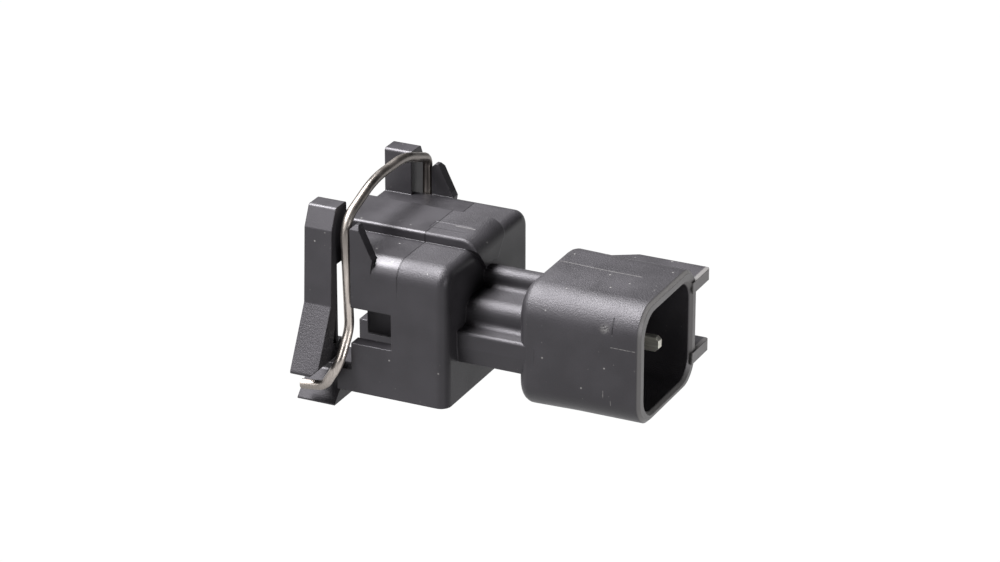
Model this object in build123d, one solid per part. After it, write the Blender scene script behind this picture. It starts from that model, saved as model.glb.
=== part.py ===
from build123d import *
import os
from math import cos, pi, sin

# A short in-line adapter for an injector plug: a wire-clip plug end, a ribbed neck and a latched header end.
# X runs along the adapter. X = 0 is the plane of the header's mouth and Z = 0 is the header's axis.
# Y = 0 is the middle plane. The plug end lies on the -X side, and all lengths are millimetres.

# Header shroud, the pin end
header_width = 14.2
header_height = 12.8
header_length = 13.0
header_side_wall = 1.4
header_top_wall = 1.35
header_floor_wall = 1.0
header_corner = 3.1
header_inner_corner = 2.2
header_depth = 9.4
header_rim_chamfer = 0.35
header_back_round = 1.0
header_mouth_bevel = 0.35

# Latch side of the header
latch_rise = 0.2
rail_gap = 6.5
rail_thickness = 1.2
rail_rise = 2.8
rail_overhang = 0.2
rail_length = 12.6
rail_lead = 4.9
rail_tip_round = 0.4
catch_width = 3.6
catch_rise = 1.7
catch_length = 3.6
catch_setback = 3.2
catch_peak = 0.55

# Neck between the two ends
neck_length = 6.6
neck_bar_width = 14.4
neck_bar_bottom = -2.6
neck_bar_top = 0.8
neck_bar_draft = 0.3
neck_parting_z = -0.9
neck_block_width = 10.3
neck_block_top = 3.35
neck_block_round = 1.3
neck_rib_width = 2.1
neck_rib_top = 5.2
neck_rib_round = 0.9
neck_edge_round = 0.35
neck_foot_round = 0.6

# Plug shell
plug_length = 15.1
plug_width = 19.2
plug_height = 14.7
plug_rise = 0.5
plug_side_wall = 1.5
plug_top_wall = 1.3
plug_floor_wall = 1.6
plug_depth = 12.0
plug_top_round = 1.9
plug_end_round = 1.1
plateau_width = 6.6
plateau_rise = 1.02
plateau_wrap = 0.45
plateau_foot_z = 5.0
plateau_round = 0.3
notch_width = 6.6
notch_depth = 6.0
cavity_round = 0.8

# Collar, clip slots and windows
collar_depth = 3.0
collar_opening = 18.6
collar_sill = -1.8
slot_width = 1.6
slot_floor = -4.45
window_length = 4.45
window_bottom = -1.55
window_top = 2.3

# Arms beside the mouth
arm_top = 12.5
arm_head_inner = 7.1
arm_head_outer = 9.3
arm_shoulder = 10.3
arm_shoulder_z = 10.4
arm_side = 10.7
arm_bend_z = 2.5
arm_flare = 14.1
arm_foot_z = -4.1
arm_inner_foot = 10.45
arm_back_chamfer = 0.9
arm_edge_round = 0.3

# Feet with the ramps for the clip's ends
foot_bottom = -8.45
foot_lip = 0.15
foot_reach = 1.2
foot_outer = 10.3
ramp_top = 7.65
ramp_top_z = -5.8

# Ears behind the clip slots
ear_top = 11.1
ear_length = 2.45
ear_tip = 0.8
ear_heel_z = 7.7
ear_undercut = 0.4
ear_thickness = 1.1
ear_bevel = 0.45

# Tongue that carries the socket contacts
tongue_length = 7.3
tongue_width = 12.4
tongue_height = 5.6
tongue_round = 0.7

# Seal round the root of the tongue
seal_length = 2.8
seal_thickness = 1.15
seal_rib_rise = 0.3
seal_rib_length = 0.55
seal_rib_count = 3
seal_clearance = 0.05

# Socket contacts
plug_pitch = 5.0
contact_length = 5.6
contact_height = 2.8
contact_sheet = 0.3
contact_width = 2.0
contact_pinch = 0.45
contact_pinch_share = 0.3
contact_base = 2.4
spring_sheet = 0.2
spring_length = 4.4
metal_clearance = 0.04
tab_width = 2.9
tab_thickness = 0.9
tab_clearance = 0.15
tongue_face_wall = 0.9
lance_length = 1.6
lance_rise = 0.5
lance_setback = 1.0

# Blade pins
pin_pitch = 4.4
pin_thickness = 0.8
pin_height = 1.5
pin_z = -0.97
pin_setback = 1.85
pin_bevel = 0.35
pin_root = 1.2
strip_height = 2.2
strip_joggle = 2.4
strip_bend_setback = 1.5
strip_slope = 2.0

# Wire clip, measured along the wire's centre line
wire_diameter = 1.0
wire_clearance = 0.12
clip_end_setback = 0.9
clip_end_z = -6.4
clip_heel_lean = 1.75
clip_heel_z = -6.15
clip_ankle_z = -3.35
clip_leg_y = 8.7
clip_knee_z = -0.4
clip_heel_radius = 1.4
clip_leg_radius = 2.6
clip_bow = [(-9.35, 11.3), (-3.0, 13.5), (3.6, 13.45), (8.9, 11.5)]
clip_bow_radii = [2.6, 13.0, 11.0, 1.1]

# Levels and stations worked out from the sizes above
header_back_x = -header_length
end_face_x = header_back_x - neck_length
plug_front_x = end_face_x - plug_length
plug_floor_z = plug_rise - plug_height / 2
plug_shoulder_z = plug_rise + plug_height / 2
plug_half = plug_width / 2
cavity_half = plug_half - plug_side_wall
cavity_bottom_z = plug_floor_z + plug_floor_wall
cavity_top_z = plug_shoulder_z - plug_top_wall
cavity_mid_z = (cavity_bottom_z + cavity_top_z) / 2
cavity_end_x = plug_front_x + plug_depth
collar_back_x = plug_front_x + collar_depth
slot_back_x = collar_back_x + slot_width
tongue_front_x = cavity_end_x - tongue_length
header_floor_x = -header_depth
beyond = 40.0


def block(x0, x1, y0, y1, z0, z1):
    """Box between two corners."""
    middle = ((x0 + x1) / 2, (y0 + y1) / 2, (z0 + z1) / 2)
    return Pos(*middle) * Box(x1 - x0, y1 - y0, z1 - z0)


def prism_along_x(outline, x0, x1):
    """Solid with a (Y, Z) outline between two stations on X."""
    face = Plane(origin=(x0, 0, 0), x_dir=(0, 1, 0), z_dir=(1, 0, 0)) * Polygon(*outline, align=None)
    return extrude(face, amount=x1 - x0, dir=(1, 0, 0))


def prism_along_y(outline, y0, y1):
    """Solid with an (X, Z) outline between two stations on Y."""
    face = Plane(origin=(0, y0, 0), x_dir=(1, 0, 0), z_dir=(0, -1, 0)) * Polygon(*outline, align=None)
    return extrude(face, amount=y1 - y0, dir=(0, 1, 0))


def prism_along_z(outline, z0, z1):
    """Solid with an (X, Y) outline between two levels."""
    face = Plane(origin=(0, 0, z0)) * Polygon(*outline, align=None)
    return extrude(face, amount=z1 - z0, dir=(0, 0, 1))


def rounded_tube(width, height, corner, x0, x1, z_mid=0.0):
    """Solid bar along X with a rounded rectangular section."""
    plane = Plane(origin=(x0, 0, z_mid), x_dir=(0, 1, 0), z_dir=(1, 0, 0))
    return extrude(plane * RectangleRounded(width, height, corner), amount=x1 - x0, dir=(1, 0, 0))


def both_sides(piece):
    """The piece and its mirror image across the middle plane."""
    return piece + mirror(piece, about=Plane.XZ)


def header_shroud():
    """Outer body of the header with its rounded back edge and bevelled rim."""
    body = rounded_tube(header_width, header_height, header_corner, header_back_x, 0)
    body = chamfer(body.faces().sort_by(Axis.X)[-1].edges(), header_rim_chamfer)
    return fillet(body.faces().sort_by(Axis.X)[0].edges(), header_back_round)


def header_cavity():
    """Room inside the header, with a bevelled mouth."""
    width = header_width - 2 * header_side_wall
    height = header_height - header_top_wall - header_floor_wall
    middle = (header_floor_wall - header_top_wall) / 2
    room = rounded_tube(width, height, header_inner_corner, header_floor_x, beyond, middle)
    mouth = Plane(origin=(0, 0, middle), x_dir=(0, 1, 0), z_dir=(1, 0, 0))
    wide = 2 * header_mouth_bevel
    outer = mouth * RectangleRounded(width + wide, height + wide, header_inner_corner + header_mouth_bevel)
    inner = mouth.offset(-header_mouth_bevel) * RectangleRounded(width, height, header_inner_corner)
    return room + loft([inner.face(), outer.face()])


def latch_rail():
    """Guide rail above the catch, with a long sloping start and a rounded tip, on the +Y side."""
    root = header_width / 2 - header_corner / 2
    top = header_width / 2 + rail_rise
    start = rail_overhang - rail_length
    outline = [(start, root), (rail_overhang, root), (rail_overhang, top), (start + rail_lead, top),
               (start, header_width / 2)]
    rail = prism_along_z(outline, rail_gap / 2, rail_gap / 2 + rail_thickness)
    tip = rail.edges().filter_by(Axis.Z).group_by(Axis.X)[-1].sort_by(Axis.Y)[-1]
    return fillet(tip, rail_tip_round)


def latch_side():
    """Two guide rails and the catch ramp between them, on the +Y side."""
    rail = latch_rail()
    face = header_width / 2
    root = face - header_side_wall / 2
    back = -catch_setback - catch_length
    peak = -catch_setback - catch_length * catch_peak
    outline = [(back, root), (-catch_setback, root), (peak, face + catch_rise), (back, face + catch_rise)]
    catch = prism_along_z(outline, -catch_width / 2, catch_width / 2)
    return Pos(0, 0, latch_rise) * (rail + mirror(rail, about=Plane.XY) + catch)


def neck():
    """Ribbed neck: a wide drafted bar for the two strips, a block on it and a rib on top."""
    x0 = (cavity_end_x + end_face_x) / 2
    x1 = (header_back_x + header_floor_x) / 2
    half_bar = neck_bar_width / 2
    foot = half_bar - neck_bar_draft
    bar = prism_along_x([(-foot, neck_bar_bottom), (foot, neck_bar_bottom), (half_bar, neck_parting_z),
                         (half_bar, neck_bar_top), (-half_bar, neck_bar_top), (-half_bar, neck_parting_z)], x0, x1)
    bar = fillet(bar.edges().filter_by(Axis.X).group_by(Axis.Z)[-1], neck_edge_round)
    block_half = neck_block_width / 2
    mid = block(x0, x1, -block_half, block_half, neck_parting_z, neck_block_top)
    mid = fillet(mid.edges().filter_by(Axis.X).group_by(Axis.Z)[-1], neck_block_round)
    rib_half = neck_rib_width / 2
    rib = block(x0, x1, -rib_half, rib_half, neck_parting_z, neck_rib_top)
    rib = fillet(rib.edges().filter_by(Axis.X).group_by(Axis.Z)[-1], neck_rib_round)
    body = bar + mid + rib
    feet = [edge for edge in body.edges().filter_by(Axis.X)
            if abs(edge.center().Z - neck_bar_top) + abs(abs(edge.center().Y) - block_half) < neck_foot_round / 10
            or abs(edge.center().Z - neck_block_top) + abs(abs(edge.center().Y) - rib_half) < neck_foot_round / 10]
    return fillet(feet, neck_foot_round)


def plug_body():
    """Outer block of the plug with its rounded top and end."""
    body = block(plug_front_x, end_face_x, -plug_half, plug_half, plug_floor_z, plug_shoulder_z)
    long_edges = body.edges().filter_by(Axis.X).group_by(Axis.Z)
    body = fillet(long_edges[-1], plug_top_round)
    end_edges = body.faces().sort_by(Axis.X)[-1].edges()
    bottom_edge = end_edges.sort_by(Axis.Z)[0]
    return fillet([edge for edge in end_edges if edge != bottom_edge], plug_end_round)


def plateau():
    """Raised pad along the top, which bends down over the end face and narrows to the neck's rib."""
    top = plug_shoulder_z + plateau_rise
    under = plug_shoulder_z - plug_top_wall
    face_x = end_face_x + plateau_wrap
    bend = plug_top_round
    half = plateau_width / 2
    start = (face_x - bend, top)
    middle = (face_x - bend * (1 - cos(pi / 4)), top - bend * (1 - sin(pi / 4)))
    end = (face_x, top - bend)
    around = [end, (face_x, plateau_foot_z + plateau_wrap), (end_face_x, plateau_foot_z),
              (end_face_x - plug_end_round, plateau_foot_z), (end_face_x - plug_end_round, under),
              (plug_front_x, under), (plug_front_x, top), start]
    side = Plane(origin=(0, -half, 0), x_dir=(1, 0, 0), z_dir=(0, -1, 0))
    outline = ThreePointArc(start, middle, end) + Polyline(*around)
    pad = extrude(side * make_face(outline), amount=plateau_width, dir=(0, 1, 0))
    rims = [edge for face in pad.faces().filter_by(Axis.Y) for edge in face.edges()
            if edge.center().X > end_face_x or edge.center().Z > plug_shoulder_z + plateau_round]
    pad = fillet(rims, plateau_round)
    tip_half = neck_rib_width / 2
    taper = [(half, top), (half, plug_shoulder_z), (tip_half, plateau_foot_z), (-tip_half, plateau_foot_z),
             (-half, plug_shoulder_z), (-half, top)]
    return pad & prism_along_x(taper, plug_front_x, face_x)


def plug_cavity():
    """Mouth of the plug: the main room, the wider collar and the notch in the floor."""
    front = plug_front_x - beyond
    room = block(front, cavity_end_x, -cavity_half, cavity_half, cavity_bottom_z, cavity_top_z)
    room = fillet(room.edges().filter_by(Axis.X), cavity_round)
    collar = block(front, collar_back_x, -collar_opening / 2, collar_opening / 2, collar_sill, cavity_top_z)
    notch = block(front, plug_front_x + notch_depth, -notch_width / 2, notch_width / 2, -beyond, cavity_mid_z)
    return room + collar + notch


def side_openings():
    """Clip slot and window in each side wall."""
    slot = block(collar_back_x, slot_back_x, cavity_half, beyond, slot_floor, beyond)
    window = block(collar_back_x, slot_back_x + window_length, cavity_half - plug_side_wall, beyond,
                   window_bottom, window_top)
    return both_sides(slot + window)


def collar_corner_cut():
    """Room under each arm for the clip's ends, above the ramps."""
    outline = [(ramp_top, arm_foot_z), (beyond, arm_foot_z), (beyond, foot_bottom - foot_lip),
               (foot_outer, foot_bottom + foot_lip), (ramp_top, ramp_top_z)]
    return both_sides(prism_along_x(outline, plug_front_x - beyond, collar_back_x))


def arm():
    """Flared arm beside the mouth, on the +Y side."""
    half_opening = collar_opening / 2
    outline = [(arm_head_inner, arm_top), (arm_head_outer, arm_top), (arm_shoulder, arm_shoulder_z),
               (arm_side, arm_bend_z), (arm_flare, arm_foot_z), (cavity_half, arm_foot_z),
               (cavity_half, collar_sill), (arm_inner_foot, collar_sill), (half_opening, arm_bend_z),
               (half_opening, cavity_top_z), (arm_head_inner, cavity_top_z)]
    piece = prism_along_x(outline, plug_front_x, collar_back_x)
    back_foot = piece.edges().filter_by(Axis.Y).group_by(Axis.Z)[0].sort_by(Axis.X)[-1]
    piece = chamfer(back_foot, arm_back_chamfer)
    outer_edges = [edge for edge in piece.edges().filter_by(Axis.X)
                   if edge.center().Z > cavity_top_z + arm_edge_round or edge.center().Y > arm_shoulder]
    return fillet(outer_edges, arm_edge_round)


def foot():
    """Foot under the mouth with the sloping ramp at its outer end, on the +Y side."""
    inner = notch_width / 2
    outline = [(inner, foot_bottom), (foot_outer, foot_bottom), (foot_outer, foot_bottom + foot_lip),
               (ramp_top, ramp_top_z), (ramp_top, cavity_bottom_z), (inner, cavity_bottom_z)]
    return prism_along_x(outline, plug_front_x - foot_reach, collar_back_x)


def ear():
    """Ear that rises behind the clip slot, flush with the side wall, on the +Y side."""
    inner = plug_half - ear_thickness
    back_x = slot_back_x + ear_length
    outline = [(slot_back_x, cavity_top_z - plug_top_wall), (slot_back_x, ear_top - ear_bevel),
               (slot_back_x + ear_bevel, ear_top), (slot_back_x + ear_tip, ear_top), (back_x, ear_heel_z),
               (back_x - ear_undercut, cavity_top_z - plug_top_wall)]
    piece = prism_along_y(outline, inner, plug_half)
    bevel = [(plug_half, ear_top - ear_bevel), (plug_half, ear_top), (plug_half - ear_bevel, ear_top)]
    return piece - prism_along_x(bevel, slot_back_x, back_x)


def tongue():
    """Tongue in the middle of the plug's mouth."""
    root_x = end_face_x - plug_end_round
    return rounded_tube(tongue_width, tongue_height, tongue_round, tongue_front_x, root_x, cavity_mid_z)


def strip_blank(clearance):
    """Flat strip from the pin's tip to the contact, on the +Y side, grown by a clearance."""
    c = clearance
    tip_x = -pin_setback + c
    half_pin = pin_height / 2 + c
    half_strip = strip_height / 2 + c
    rear_x = tongue_front_x + tongue_face_wall + contact_length
    bend_x = end_face_x + strip_bend_setback
    low_x = bend_x - abs(cavity_mid_z - pin_z) * strip_slope
    shoulder_x = header_floor_x - pin_root
    side = [(tip_x, pin_z - half_pin + pin_bevel), (tip_x, pin_z + half_pin - pin_bevel),
            (tip_x - pin_bevel, pin_z + half_pin), (shoulder_x, pin_z + half_pin),
            (shoulder_x, pin_z + half_strip), (bend_x, pin_z + half_strip),
            (low_x, cavity_mid_z + half_strip), (rear_x, cavity_mid_z + half_strip),
            (rear_x, cavity_mid_z - half_strip), (low_x, cavity_mid_z - half_strip),
            (bend_x, pin_z - half_strip), (shoulder_x, pin_z - half_strip),
            (shoulder_x, pin_z - half_pin), (tip_x - pin_bevel, pin_z - half_pin)]
    half = pin_thickness / 2 + c
    y0 = pin_pitch / 2
    y1 = plug_pitch / 2
    jog_x = header_back_x - strip_joggle
    plan = [(tip_x, y0 - half), (tip_x, y0 + half), (header_back_x, y0 + half), (jog_x, y1 + half),
            (rear_x, y1 + half), (rear_x, y1 - half), (jog_x, y1 - half), (header_back_x, y0 - half)]
    return prism_along_y(side, -beyond, beyond) & prism_along_z(plan, -beyond, beyond)


def blade_pin():
    """Blade pin with its strip, on the +Y side."""
    return strip_blank(0)


def socket_contact():
    """Forked bronze contact that grips the injector's tab, on the +Y side."""
    x0 = tongue_front_x + tongue_face_wall
    x1 = x0 + contact_length
    half = contact_width / 2
    s = contact_sheet
    pinch_x = x0 + contact_length * contact_pinch_share
    base_x = x1 - contact_base
    gap = half - s - contact_pinch
    mid = plug_pitch / 2
    upper = [(x1, mid), (x1, mid + half), (base_x, mid + half), (pinch_x, mid + gap + s), (x0, mid + half),
             (x0, mid + half - s), (pinch_x, mid + gap), (base_x, mid + half - s), (x1 - s, mid + half - s),
             (x1 - s, mid)]
    lower = [(x, 2 * mid - y) for x, y in upper]
    z0 = cavity_mid_z - contact_height / 2
    z1 = cavity_mid_z + contact_height / 2
    return prism_along_z(upper, z0, z1) + prism_along_z(lower, z0, z1)


def contact_spring():
    """Steel sleeve round the contact, with a locking lance on top, on the +Y side."""
    x0 = tongue_front_x + tongue_face_wall + (contact_length - spring_length) / 2
    x1 = x0 + spring_length
    mid = plug_pitch / 2
    inner_y = contact_width / 2 + metal_clearance
    inner_z = contact_height / 2 + metal_clearance
    outer_y = inner_y + spring_sheet
    outer_z = inner_z + spring_sheet
    sleeve = block(x0, x1, mid - outer_y, mid + outer_y, cavity_mid_z - outer_z, cavity_mid_z + outer_z)
    sleeve -= block(x0, x1, mid - inner_y, mid + inner_y, cavity_mid_z - inner_z, cavity_mid_z + inner_z)
    top = cavity_mid_z + outer_z
    s = spring_sheet
    root_x = x0 + lance_setback
    lance = [(root_x, top - s), (root_x, top), (root_x + lance_length, top + lance_rise),
             (root_x + lance_length, top + lance_rise - s)]
    return sleeve + prism_along_y(lance, mid - inner_y / 2, mid + inner_y / 2)


def contact_room():
    """Room in the tongue for one contact, its sleeve, its lance and the injector's tab, on the +Y side."""
    c = metal_clearance
    x0 = tongue_front_x + tongue_face_wall
    x1 = x0 + contact_length
    mid = plug_pitch / 2
    half_y = contact_width / 2 + spring_sheet + 2 * c
    half_z = contact_height / 2 + spring_sheet + 2 * c
    room = block(x0 - c, x1 + c, mid - half_y, mid + half_y, cavity_mid_z - half_z, cavity_mid_z + half_z)
    lance = block(x0 - c, x1 + c, mid - half_y / 2 - c, mid + half_y / 2 + c, cavity_mid_z,
                  cavity_mid_z + half_z + lance_rise)
    half_tab_y = tab_thickness / 2 + tab_clearance
    half_tab_z = tab_width / 2 + tab_clearance
    tab = block(tongue_front_x - beyond, x0, mid - half_tab_y, mid + half_tab_y, cavity_mid_z - half_tab_z,
                cavity_mid_z + half_tab_z)
    return room + lance + tab


def housing():
    """The black moulding with both ends, in one piece."""
    body = plug_body() + plateau() + both_sides(ear()) + neck()
    body -= plug_cavity()
    body -= side_openings()
    body -= collar_corner_cut()
    body += both_sides(arm())
    body += both_sides(foot())
    body += tongue()
    body += header_shroud() + latch_side()
    body -= header_cavity()
    body -= both_sides(contact_room())
    body -= both_sides(strip_blank(metal_clearance))
    return body


def mouth_seal():
    """Ribbed rubber ring round the root of the tongue."""
    c = seal_clearance
    x1 = cavity_end_x - c
    x0 = x1 - seal_length
    inner = rounded_tube(tongue_width + 2 * c, tongue_height + 2 * c, tongue_round + c, x0 - c, x1 + c,
                         cavity_mid_z)
    grow = 2 * seal_thickness
    ring = rounded_tube(tongue_width + grow, tongue_height + grow, tongue_round + seal_thickness, x0, x1,
                        cavity_mid_z)
    step = (seal_length - seal_rib_length) / (seal_rib_count - 1)
    for i in range(seal_rib_count):
        rib_x = x0 + i * step
        rib_grow = grow + 2 * seal_rib_rise
        rib = rounded_tube(tongue_width + rib_grow, tongue_height + rib_grow,
                           tongue_round + seal_thickness + seal_rib_rise, rib_x, rib_x + seal_rib_length,
                           cavity_mid_z)
        ring += rib
    return ring - inner


def spring_clip():
    """Bent wire clip: a bow over the plug and a leg down each side, with ends turned to the front."""
    bow_x = slot_back_x - wire_diameter / 2 - wire_clearance
    end_y = foot_outer + wire_diameter / 2 + wire_clearance
    front_x = plug_front_x - foot_reach + clip_end_setback
    leg = [(front_x, end_y, clip_end_z), (bow_x - clip_heel_lean, end_y, clip_heel_z), (bow_x, end_y, clip_ankle_z),
           (bow_x, clip_leg_y, clip_knee_z)]
    near = [(x, -y, z) for x, y, z in leg]
    route = near + [(bow_x, y, z) for y, z in clip_bow] + leg[::-1]
    leg_radii = [clip_heel_radius, clip_leg_radius, clip_leg_radius]
    radii = leg_radii + clip_bow_radii + leg_radii[::-1]
    path = FilletPolyline(*route, radius=radii)
    start = Plane(origin=path @ 0, z_dir=path % 0)
    return sweep(start * Circle(wire_diameter / 2), path=path)


def write(name, piece):
    """Save one piece as a STEP file."""
    export_step(piece, os.path.join("parts", name + ".step"))


def main():
    """Build every piece and write it."""
    os.makedirs("parts", exist_ok=True)
    write("housing", housing())
    write("spring_clip", spring_clip())
    write("mouth_seal", mouth_seal())
    for name, piece in (("blade_pin", blade_pin()), ("socket_contact", socket_contact()),
                        ("contact_spring", contact_spring())):
        write("left_" + name, piece)
        write("right_" + name, mirror(piece, about=Plane.XZ))


main()
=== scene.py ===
"""Looks of the injector adapter: moulded nylon, bent wire, plated pins and studio light.

Lengths are in metres, except where a comment says millimetres.
"""

from math import cos, pi, radians, sin

import bmesh
import bpy
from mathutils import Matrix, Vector


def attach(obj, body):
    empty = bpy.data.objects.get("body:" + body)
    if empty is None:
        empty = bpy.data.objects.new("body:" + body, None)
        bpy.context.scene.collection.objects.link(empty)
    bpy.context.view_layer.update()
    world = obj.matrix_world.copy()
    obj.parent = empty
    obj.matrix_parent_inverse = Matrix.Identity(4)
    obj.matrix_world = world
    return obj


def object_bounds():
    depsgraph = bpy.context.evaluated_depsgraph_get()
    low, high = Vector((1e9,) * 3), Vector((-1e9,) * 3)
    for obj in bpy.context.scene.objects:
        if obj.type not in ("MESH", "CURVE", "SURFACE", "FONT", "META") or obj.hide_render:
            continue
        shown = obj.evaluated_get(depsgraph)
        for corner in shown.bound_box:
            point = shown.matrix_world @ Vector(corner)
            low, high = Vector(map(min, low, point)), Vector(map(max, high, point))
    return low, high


MM = 0.001

# Camera, at the photograph's viewing angle. Its lens and sensor are in millimetres.
VIEW_AZIMUTH = radians(25.52)
VIEW_ELEVATION = radians(23.58)
VIEW_DISTANCE = 0.400
VIEW_TARGET = Vector((-19.08, 1.61, 2.81)) * MM
LENS = 144.0
SENSOR = 36.0
NEAREST_VIEW = 0.01

# Floor and sky
FLOOR_SIZE = 4.0
FLOOR_DROP = 0.02 * MM
FLOOR_GLOW = 1.02
SKY_COLOUR = (0.97, 0.98, 1.0)
SKY_STRENGTH = 0.03

# Softboxes: place from the view's target in millimetres, size in metres and power in watts
LIGHTS = {
    "top": ((-101, 62, 228), 0.12, 1.25),
    "shoulder": ((-101, -75, 222), 0.12, 2.4),
    "side": ((-118, -242, 132), 0.16, 0.37),
    "front": ((150, -45, 30), 0.05, 0.10),
}

# Noise: usual and finer detail, usual roughness and that of grain and lines, and the span that carries tone
NOISE_DETAIL = 3.0
CLOUD_DETAIL = 4.0
NOISE_ROUGHNESS = 0.5
GRAINY_ROUGHNESS = 0.6
NOISE_SPAN = (0.3, 0.7)

# Edges: how far the softened and the true surface agree where an edge is full and where there is none
EDGE_SAMPLES = 6
EDGE_AGREEMENT = (0.80, 0.995)

# Nylon
NYLON_COLOUR = (0.0165, 0.0155, 0.0175)
NYLON_SHEEN = (0.97, 0.935, 1.0)
NYLON_DUST_AND_HIGHLIGHT = (0.16, 0.155, 0.15)
NYLON_TONE = (0.8, 1.2)
NYLON_ROUGHNESS = 0.39
NYLON_ROUGHNESS_SPREAD = 0.04
NYLON_GLOSS = 0.45
POLISH_SIZE = 5.0 * MM

# Tool texture of the nylon. It is full on tops between the parting step and the header's mouth, and on the
# arms' flares, which begin at a distance to the side in millimetres.
GRAIN_SIZE = 0.15 * MM
GRAIN_HEIGHT = 0.05 * MM
GRAIN_FLOOR = 0.25
GRAIN_ROUGHNESS = 0.12
GRAIN_TOP_LEAN = (0.15, 0.75)
FLARE_SIDE = 10.72

# Dots of dust and fibre on the nylon, and finer painted glints of the tool texture with their strength:
# spacing, share of cells with a dot, and a dot's reach in its cell
SPECK_SPACING = 1.3 * MM
SPECK_SHARE = 0.25
GLINT_SPACING = 0.55 * MM
GLINT_SHARE = 0.18
GLINT_STRENGTH = 0.6
DOT_REACH = (0.04, 0.10)

# How pale each mark makes the nylon, painted glints and the painted highlight on the rim among them, and how
# dark the painted shade in the lines is
EDGE_PALE = 0.121
DUST_AND_GLINT_PALE = 0.9
SCRATCH_PALE = 0.6
SCUFF_PALE = 0.5
RIM_PAINTED_HIGHLIGHT = 0.55
LINE_PAINTED_SHADE = 0.7

# Worn edges, and a painted highlight on the rim of the header's mouth
EDGE_RADIUS = 0.14 * MM
WORN_SPAN = (0.35, 0.65)
RIM_HIGHLIGHT_DEPTH = 0.4 * MM

# Marks on the nylon, in millimetres. Recess, scratches and crack have a centre, half sizes and a depth.
# A span is of the noise that breaks a mark up.
MARK_SOFTNESS = 0.12
PARTING_X = -24.95
PARTING_HALF_WIDTH = 0.05
PARTING_DEPTH = 0.03
PARTING_FADE = (3.5, 6.5)
RECESS = ((-23.3, -0.95, 8.87), (1.95, 0.75, 0.3), 0.05)
RECESS_ROUGHNESS = 0.08
SCRATCHES = [
    ((-21.9, -0.48, 8.87), (1.1, 0.07, 0.3), 0.02),
    ((-7.8, 1.03, 6.4), (4.4, 0.05, 0.3), 0.008),
    ((-1.8, -7.1, 2.22), (1.3, 0.4, 0.04), 0.012),
    ((-3.85, -7.1, -2.95), (0.04, 0.4, 0.4), 0.012),
    ((-3.05, -7.1, -3.75), (0.04, 0.6, 0.3), 0.012),
]
SCRATCH_SPAN = (0.25, 0.6)
SCUFF_PLACE = (-3.75, -7.0, 4.05)
SCUFF_REACH = 0.75
SCUFF_DEPTH = 0.03
SCUFF_SIZE = 0.22
SCUFF_SPAN = (0.3, 0.6)
CRACK = ((-2.95, -6.9, 4.3), (0.05, 0.5, 0.8), 0.05)

# Less gloss, in millimetres: faces that look along X behind the header, and raised faces of feet and ears.
# A lean is the part of the surface's normal, along X or upward, over which the change sets in.
MATT_FACE_LIMIT = -15.0
MATT_FACE_LEAN = (0.5, 0.95)
MATT_FACE_GLOSS = 0.45
FOOT_TOP = -4.0
EAR_FOOT = 8.2
EAR_BACK = -31.0
RAISED_SIDE = 7.8
RAISED_LEAN = (0.1, 0.4)
RAISED_GLOSS = 0.25

# Skin round the back of the header, in millimetres: the header's half sizes and corner, then the skin's own
HEADER_HALF_WIDTH = 7.1
HEADER_HALF_HEIGHT = 6.4
HEADER_CORNER = 3.1
SKIN_BACK = -13.02
SKIN_FRONT = -6.0
SKIN_ROUND = 1.1
SKIN_PROUD = 0.115
SKIN_SINK = 0.02
SKIN_STEPS = 8

# Metals
METAL_LINE_SIZE = 0.15 * MM
METAL_LINE_DEPTH = 0.004 * MM
METAL_LINE_TONE = (0.80, 1.10)
METAL_CLOUD_SIZE = 2.0 * MM
METAL_CLOUD_TONE = (-0.12, 0.08)
METAL_ROUGHNESS_SPREAD = 0.07
METAL_EDGE_RADIUS = 0.05 * MM
METAL_EDGE_PAINTED_SHINE = 0.15

# Wire. Painted shade: it grows darker with the height above or below a level, in millimetres.
WIRE_COLOUR = (0.58, 0.525, 0.485)
WIRE_ROUGHNESS = 0.38
WIRE_DRAW_LENGTH = 6.0 * MM
WIRE_DRAW_WIDTH = 0.10 * MM
WIRE_END_PAINTED_SHADE = 0.38
PAINTED_SHADE_MIDDLE = 1.0
PAINTED_SHADE_REACH = (4.0, 8.5)

# Pins, contacts and their sleeves. The stretch draws the lines out along a pin.
PIN_COLOUR = (0.88, 0.86, 0.78)
PIN_ROUGHNESS = 0.50
PIN_STRETCH = 0.05
BRONZE_COLOUR = (0.72, 0.48, 0.30)
BRONZE_ROUGHNESS = 0.30
SLEEVE_COLOUR = (0.55, 0.55, 0.56)
SLEEVE_ROUGHNESS = 0.32

# Seal
RUBBER_COLOUR = (0.022, 0.022, 0.024)
RUBBER_TONE = (0.8, 1.3)
RUBBER_CLOUD_SIZE = 1.2 * MM
RUBBER_ROUGHNESS = 0.72
RUBBER_ROUGHNESS_SPREAD = 0.06
RUBBER_PORE_SIZE = 0.12 * MM
RUBBER_PORE_DETAIL = 2.0
RUBBER_PORE_DEPTH = 0.01 * MM
RUBBER_EDGE_RADIUS = 0.10 * MM
RUBBER_EDGE_TONE = 0.4


def new_material(name):
    """New node material, its node tree and its shader."""
    material = bpy.data.materials.new(name)
    material.use_nodes = True
    tree = material.node_tree
    shader = tree.nodes["Principled BSDF"]
    return material, tree, shader


def node(tree, kind, inputs=(), **values):
    """Add a node, set its plain properties and fill its inputs from numbers or from other outputs."""
    made = tree.nodes.new(kind)
    for key, value in values.items():
        setattr(made, key, value)
    for socket, value in inputs:
        if isinstance(value, bpy.types.NodeSocket):
            tree.links.new(value, made.inputs[socket])
        else:
            made.inputs[socket].default_value = value
    return made


def calc(tree, operation, first, second=0.0, clamp=False):
    """Sum, product or other simple calculation on two values."""
    made = node(tree, "ShaderNodeMath", [(0, first), (1, second)], operation=operation, use_clamp=clamp)
    return made.outputs[0]


def times(tree, first, second):
    """Product of two values."""
    return calc(tree, "MULTIPLY", first, second)


def larger(tree, first, second, clamp=False):
    """Larger of two values."""
    return calc(tree, "MAXIMUM", first, second, clamp)


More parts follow.
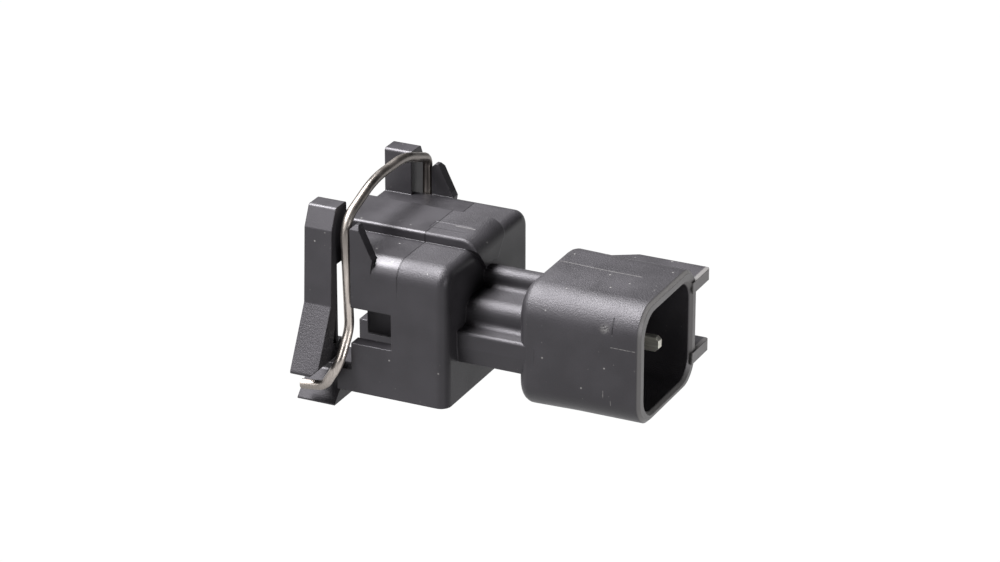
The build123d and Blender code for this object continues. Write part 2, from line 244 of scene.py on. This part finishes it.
def ramp(tree, value, low, high, to_low=0.0, to_high=1.0):
    """Value carried smoothly from one range to another and held at its ends."""
    ends = [("From Min", low), ("From Max", high), ("To Min", to_low), ("To Max", to_high)]
    made = node(tree, "ShaderNodeMapRange", [("Value", value), *ends], interpolation_type="SMOOTHSTEP")
    return made.outputs["Result"]


def noise(tree, coords, size, detail=NOISE_DETAIL, roughness=NOISE_ROUGHNESS):
    """Noise whose features are about one size across."""
    made = node(tree, "ShaderNodeTexNoise",
                [("Vector", coords), ("Scale", 1.0 / size), ("Detail", detail), ("Roughness", roughness)])
    return made.outputs["Fac"]


def follow(tree, field, low, high):
    """Value that follows a noise field from one level to another."""
    return ramp(tree, field, *NOISE_SPAN, low, high)


def around(tree, field, middle, spread):
    """Value that follows a noise field by some spread to either side of a middle."""
    return follow(tree, field, middle - spread, middle + spread)


def mix(tree, share, first, second):
    """Colour between a colour output and a plain colour."""
    made = node(tree, "ShaderNodeMix", [(0, share), (6, first), (7, (*second, 1))], data_type="RGBA")
    return made.outputs[2]


def scaled(tree, colour, tone):
    """Colour made lighter or darker by a tone."""
    return node(tree, "ShaderNodeVectorMath", [(0, colour), ("Scale", tone)], operation="SCALE").outputs[0]


def bump(tree, height, distance, below):
    """Normal raised by a height field, on top of another normal."""
    made = node(tree, "ShaderNodeBump", [("Height", height), ("Distance", distance), ("Normal", below)])
    return made.outputs["Normal"]


def place(tree):
    """Object coordinates, whole and split."""
    coords = node(tree, "ShaderNodeTexCoord").outputs["Object"]
    return coords, node(tree, "ShaderNodeSeparateXYZ", [(0, coords)]).outputs.values()


def lean(tree):
    """The three parts of the true surface's normal."""
    true = node(tree, "ShaderNodeNewGeometry").outputs["Normal"]
    return node(tree, "ShaderNodeSeparateXYZ", [(0, true)]).outputs.values()


def band(tree, value, centre, half, soft):
    """One within half a width of a level, falling to zero over a soft border."""
    away = calc(tree, "ABSOLUTE", calc(tree, "SUBTRACT", value, centre))
    return ramp(tree, away, half - soft / 2, half + soft / 2, 1.0, 0.0)


def patch(tree, axes, centre, half):
    """One inside a box given in millimetres, with soft sides."""
    share = 1.0
    for axis, middle, reach in zip(axes, centre, half):
        soft = min(MARK_SOFTNESS, reach) * MM
        share = times(tree, share, band(tree, axis, middle * MM, reach * MM, soft))
    return share


def specks(tree, coords, spacing, share):
    """Small sparse dots, one in a few cells of a cell pattern."""
    cells = node(tree, "ShaderNodeTexVoronoi", [("Vector", coords), ("Scale", 1.0 / spacing)])
    near = ramp(tree, cells.outputs["Distance"], *DOT_REACH, 1.0, 0.0)
    chosen = node(tree, "ShaderNodeSeparateColor", [("Color", cells.outputs["Color"])]).outputs[0]
    return times(tree, near, calc(tree, "LESS_THAN", chosen, share))


def soft_edges(tree, radius):
    """Normal with softened edges, and a share that is one along sharp edges and zero on flats."""
    soft = node(tree, "ShaderNodeBevel", [("Radius", radius)], samples=EDGE_SAMPLES).outputs["Normal"]
    true = node(tree, "ShaderNodeNewGeometry").outputs["Normal"]
    agreement = node(tree, "ShaderNodeVectorMath", [(0, soft), (1, true)], operation="DOT_PRODUCT")
    return soft, ramp(tree, agreement.outputs["Value"], *EDGE_AGREEMENT, 1.0, 0.0)


def grain_share(tree, axes):
    """How strongly the tool's texture shows: fully on tops past the parting step and on the arms' flares."""
    x, y, _ = axes
    _, _, up = lean(tree)
    past = calc(tree, "GREATER_THAN", x, PARTING_X * MM)
    top = times(tree, ramp(tree, up, *GRAIN_TOP_LEAN), past)
    flare = calc(tree, "GREATER_THAN", calc(tree, "ABSOLUTE", y), FLARE_SIDE * MM)
    return ramp(tree, larger(tree, top, flare), 0.0, 1.0, GRAIN_FLOOR, 1.0)


def gloss_share(tree, axes):
    """Share of gloss left: less on faces behind the header that look along X, and on feet and ears."""
    x, y, z = axes
    ahead, _, up = lean(tree)
    behind = calc(tree, "LESS_THAN", x, MATT_FACE_LIMIT * MM)
    matt = times(tree, ramp(tree, ahead, *MATT_FACE_LEAN), behind)
    low = calc(tree, "LESS_THAN", z, FOOT_TOP * MM)
    high = calc(tree, "GREATER_THAN", z, EAR_FOOT * MM)
    ear = times(tree, high, calc(tree, "GREATER_THAN", x, EAR_BACK * MM))
    outer = calc(tree, "GREATER_THAN", calc(tree, "ABSOLUTE", y), RAISED_SIDE * MM)
    raised = times(tree, times(tree, outer, larger(tree, low, ear)), ramp(tree, up, *RAISED_LEAN))
    return times(tree, ramp(tree, matt, 0.0, 1.0, 1.0, MATT_FACE_GLOSS),
                 ramp(tree, raised, 0.0, 1.0, 1.0, RAISED_GLOSS))


def parting_line(tree, axes):
    """Share of the tool's parting step, a line round the plug that fades out down its sides."""
    x, _, z = axes
    line = band(tree, x, PARTING_X * MM, PARTING_HALF_WIDTH * MM, PARTING_HALF_WIDTH * MM)
    return times(tree, line, ramp(tree, z, PARTING_FADE[0] * MM, PARTING_FADE[1] * MM))


def scuff(tree, coords):
    """Share of the broken round scuff on the header's near side."""
    centre = Vector(SCUFF_PLACE) * MM
    away = node(tree, "ShaderNodeVectorMath", [(0, coords), (1, centre)], operation="DISTANCE")
    near = ramp(tree, away.outputs["Value"], 0.0, SCUFF_REACH * MM, 1.0, 0.0)
    return times(tree, near, ramp(tree, noise(tree, coords, SCUFF_SIZE * MM), *SCUFF_SPAN))


def nylon():
    """Black glass-filled nylon with tool texture, a parting step, scratches, dust and worn edges, with
    painted glints, a painted highlight on the mouth's rim and painted shade in the parting step and crack.
    """
    material, tree, shader = new_material("black_nylon")
    coords, axes = place(tree)
    rounded, edges = soft_edges(tree, EDGE_RADIUS)
    patchy = noise(tree, coords, POLISH_SIZE, CLOUD_DETAIL)
    grain = noise(tree, coords, GRAIN_SIZE, roughness=GRAINY_ROUGHNESS)
    textured = grain_share(tree, axes)
    parting = parting_line(tree, axes)
    recess = patch(tree, axes, *RECESS[:2])
    crack = patch(tree, axes, *CRACK[:2])
    scuffed = scuff(tree, coords)

    normal = bump(tree, times(tree, grain, textured), GRAIN_HEIGHT, rounded)
    normal = bump(tree, parting, -PARTING_DEPTH * MM, normal)
    normal = bump(tree, recess, -RECESS[2] * MM, normal)
    normal = bump(tree, crack, -CRACK[2] * MM, normal)
    scratched = 0.0
    for centre, half, depth in SCRATCHES:
        mark = times(tree, patch(tree, axes, centre, half), ramp(tree, grain, *SCRATCH_SPAN))
        normal = bump(tree, mark, -depth * MM, normal)
        scratched = larger(tree, scratched, mark)
    normal = bump(tree, scuffed, -SCUFF_DEPTH * MM, normal)
    tree.links.new(normal, shader.inputs["Normal"])

    # Painted glints: small pale dots for the tool texture's sparkle, joined with real dust specks
    painted_glint = times(tree, specks(tree, coords, GLINT_SPACING, GLINT_SHARE), GLINT_STRENGTH)
    dust_and_glints = larger(tree, specks(tree, coords, SPECK_SPACING, SPECK_SHARE), painted_glint)
    worn = times(tree, edges, ramp(tree, patchy, *WORN_SPAN))
    pale = larger(tree, times(tree, worn, EDGE_PALE), times(tree, dust_and_glints, DUST_AND_GLINT_PALE))
    pale = larger(tree, pale, times(tree, scratched, SCRATCH_PALE))
    pale = larger(tree, pale, times(tree, scuffed, SCUFF_PALE))
    # Painted highlight: the last fraction of a millimetre before the header's mouth is made pale
    rim_highlight = ramp(tree, axes[0], -RIM_HIGHLIGHT_DEPTH, -RIM_HIGHLIGHT_DEPTH / 2, 0.0, RIM_PAINTED_HIGHLIGHT)
    pale = larger(tree, pale, rim_highlight, clamp=True)
    # Painted shade: the crack and the parting step are darkened as if shade lay in them
    lines = times(tree, larger(tree, crack, parting), LINE_PAINTED_SHADE)
    shade = times(tree, calc(tree, "SUBTRACT", 1.0, lines), follow(tree, patchy, *NYLON_TONE))
    base = mix(tree, pale, scaled(tree, NYLON_COLOUR, shade), NYLON_DUST_AND_HIGHLIGHT)
    tree.links.new(base, shader.inputs["Base Color"])

    rough = around(tree, patchy, NYLON_ROUGHNESS, NYLON_ROUGHNESS_SPREAD)
    rough = calc(tree, "ADD", times(tree, textured, GRAIN_ROUGHNESS), rough)
    rough = calc(tree, "ADD", rough, times(tree, recess, RECESS_ROUGHNESS))
    tree.links.new(rough, shader.inputs["Roughness"])
    tree.links.new(times(tree, gloss_share(tree, axes), NYLON_GLOSS), shader.inputs["Specular IOR Level"])
    shader.inputs["Specular Tint"].default_value = (*NYLON_SHEEN, 1)
    return material


def metal(name, colour, roughness, stretch=(1, 1, 1), line_size=METAL_LINE_SIZE, end_painted_shade=1.0):
    """Metal with fine lines, cloudy tone, a painted highlight on its edges and painted shade at top and
    bottom.
    """
    material, tree, shader = new_material(name)
    coords, (_, _, z) = place(tree)
    drawn = node(tree, "ShaderNodeMapping", [("Vector", coords), ("Scale", stretch)]).outputs[0]
    lines = noise(tree, drawn, line_size, roughness=GRAINY_ROUGHNESS)
    cloud = noise(tree, coords, METAL_CLOUD_SIZE)
    rounded, edges = soft_edges(tree, METAL_EDGE_RADIUS)
    tone = calc(tree, "ADD", follow(tree, lines, *METAL_LINE_TONE), follow(tree, cloud, *METAL_CLOUD_TONE))
    # Painted highlight: edges made brighter
    tone = calc(tree, "ADD", tone, times(tree, edges, METAL_EDGE_PAINTED_SHINE))
    # Painted shade: darker far above or below the middle level, on the wire's bow and ends
    away = calc(tree, "ABSOLUTE", calc(tree, "SUBTRACT", z, PAINTED_SHADE_MIDDLE * MM))
    tone = times(tree, tone, ramp(tree, away, PAINTED_SHADE_REACH[0] * MM, PAINTED_SHADE_REACH[1] * MM, 1.0, end_painted_shade))
    tree.links.new(scaled(tree, colour, tone), shader.inputs["Base Color"])
    shader.inputs["Metallic"].default_value = 1.0
    tree.links.new(around(tree, cloud, roughness, METAL_ROUGHNESS_SPREAD), shader.inputs["Roughness"])
    tree.links.new(bump(tree, lines, METAL_LINE_DEPTH, rounded), shader.inputs["Normal"])
    return material


def rubber():
    """Matt silicone rubber with a fine bloom."""
    material, tree, shader = new_material("seal_rubber")
    coords, _ = place(tree)
    cloud = noise(tree, coords, RUBBER_CLOUD_SIZE, CLOUD_DETAIL)
    pores = noise(tree, coords, RUBBER_PORE_SIZE, RUBBER_PORE_DETAIL)
    rounded, edges = soft_edges(tree, RUBBER_EDGE_RADIUS)
    tone = calc(tree, "ADD", follow(tree, cloud, *RUBBER_TONE), times(tree, edges, RUBBER_EDGE_TONE))
    tree.links.new(scaled(tree, RUBBER_COLOUR, tone), shader.inputs["Base Color"])
    rough = around(tree, cloud, RUBBER_ROUGHNESS, RUBBER_ROUGHNESS_SPREAD)
    tree.links.new(rough, shader.inputs["Roughness"])
    tree.links.new(bump(tree, pores, RUBBER_PORE_DEPTH, rounded), shader.inputs["Normal"])
    return material


def dress(frame):
    """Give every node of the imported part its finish, and return the finishes."""
    along_leg = (1, 1, WIRE_DRAW_WIDTH / WIRE_DRAW_LENGTH)
    along_pin = (PIN_STRETCH, 1, 1)
    wire = metal("spring_wire", WIRE_COLOUR, WIRE_ROUGHNESS, along_leg, WIRE_DRAW_WIDTH, WIRE_END_PAINTED_SHADE)
    finishes = {
        "housing": nylon(),
        "spring_clip": wire,
        "mouth_seal": rubber(),
        "blade_pin": metal("plated_pin", PIN_COLOUR, PIN_ROUGHNESS, along_pin),
        "socket_contact": metal("contact_bronze", BRONZE_COLOUR, BRONZE_ROUGHNESS, along_pin),
        "contact_spring": metal("sleeve_steel", SLEEVE_COLOUR, SLEEVE_ROUGHNESS),
    }
    for name, part in frame["nodes"].items():
        finish = finishes[name.removeprefix("left_").removeprefix("right_")]
        part.data.materials.clear()
        part.data.materials.append(finish)
    return finishes


def outline(grow):
    """Points of the header's rounded outline, moved outward by some millimetres, as widths and heights."""
    corner = HEADER_CORNER + grow
    across = HEADER_HALF_WIDTH + grow - corner
    up = HEADER_HALF_HEIGHT + grow - corner
    points = []
    for quarter, (y, z) in enumerate(((across, up), (-across, up), (-across, -up), (across, -up))):
        for step in range(SKIN_STEPS + 1):
            turn = (quarter + step / SKIN_STEPS) * pi / 2
            points.append((y + corner * cos(turn), z + corner * sin(turn)))
    return points


def header_skin(finish):
    """Thin skin that covers the neck bar's ends at the header's rounded back and sinks into it in front."""
    stations = []
    for step in range(SKIN_STEPS + 1):
        turn = step / SKIN_STEPS * pi / 2
        back = SKIN_BACK + SKIN_ROUND * (1 - cos(turn))
        stations.append((back, SKIN_PROUD - SKIN_ROUND * (1 - sin(turn))))
    stations.append((SKIN_FRONT, -SKIN_SINK))
    build = bmesh.new()
    rings = [[build.verts.new((x * MM, y * MM, z * MM)) for y, z in outline(grow)] for x, grow in stations]
    for ring, following in zip(rings, rings[1:]):
        for i in range(len(ring)):
            build.faces.new((ring[i - 1], ring[i], following[i], following[i - 1]))
    bmesh.ops.recalc_face_normals(build, faces=build.faces)
    for face in build.faces:
        face.smooth = True
    mesh = bpy.data.meshes.new("header_skin")
    build.to_mesh(mesh)
    build.free()
    mesh.materials.append(finish)
    skin = bpy.data.objects.new("header_skin", mesh)
    bpy.context.scene.collection.objects.link(skin)
    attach(skin, "adapter_body")


def floor(level):
    """Pale glowing floor that keeps no shadow."""
    bpy.ops.mesh.primitive_plane_add(size=FLOOR_SIZE, location=(0, 0, level))
    plane = bpy.context.active_object
    plane.name = "floor"
    material, _, shader = new_material("pale_floor")
    shader.inputs["Base Color"].default_value = (0, 0, 0, 1)
    shader.inputs["Roughness"].default_value = 1.0
    shader.inputs["Specular IOR Level"].default_value = 0.0
    shader.inputs["Emission Color"].default_value = (1, 1, 1, 1)
    shader.inputs["Emission Strength"].default_value = FLOOR_GLOW
    plane.data.materials.append(material)


def sky():
    """Faint even light from all round."""
    world = bpy.data.worlds.new("studio")
    world.use_nodes = True
    background = world.node_tree.nodes["Background"]
    background.inputs["Color"].default_value = (*SKY_COLOUR, 1)
    background.inputs["Strength"].default_value = SKY_STRENGTH
    bpy.context.scene.world = world


def softbox(name, spot, size, power):
    """Square soft light that faces the part."""
    light = bpy.data.lights.new(name, "AREA")
    light.shape = "SQUARE"
    light.size = size
    light.energy = power
    lamp = bpy.data.objects.new(name, light)
    lamp.location = spot
    lamp.rotation_euler = (VIEW_TARGET - spot).to_track_quat("-Z", "Y").to_euler()
    bpy.context.scene.collection.objects.link(lamp)


def camera():
    """Camera at the photograph's viewing angle."""
    data = bpy.data.cameras.new("camera")
    data.lens = LENS
    data.sensor_width = SENSOR
    data.clip_start = NEAREST_VIEW
    holder = bpy.data.objects.new("camera", data)
    holder.rotation_euler = (pi / 2 - VIEW_ELEVATION, 0, VIEW_AZIMUTH)
    back = holder.rotation_euler.to_matrix() @ Vector((0, 0, 1))
    holder.location = VIEW_TARGET + back * VIEW_DISTANCE
    bpy.context.scene.collection.objects.link(holder)
    bpy.context.scene.camera = holder


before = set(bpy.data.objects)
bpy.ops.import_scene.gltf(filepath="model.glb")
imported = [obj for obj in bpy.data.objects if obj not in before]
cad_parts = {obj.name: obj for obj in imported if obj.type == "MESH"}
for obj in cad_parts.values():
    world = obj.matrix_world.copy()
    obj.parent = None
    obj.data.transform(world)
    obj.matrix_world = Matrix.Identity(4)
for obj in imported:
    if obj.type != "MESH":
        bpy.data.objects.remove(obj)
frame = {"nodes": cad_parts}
cad_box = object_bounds()
finishes = dress(frame)
header_skin(finishes["housing"])
floor(cad_box[0][2] - FLOOR_DROP)
sky()
for name, (offset, size, power) in LIGHTS.items():
    softbox(name, VIEW_TARGET + Vector(offset) * MM, size, power)
camera()
bpy.context.scene.view_settings.view_transform = "Standard"
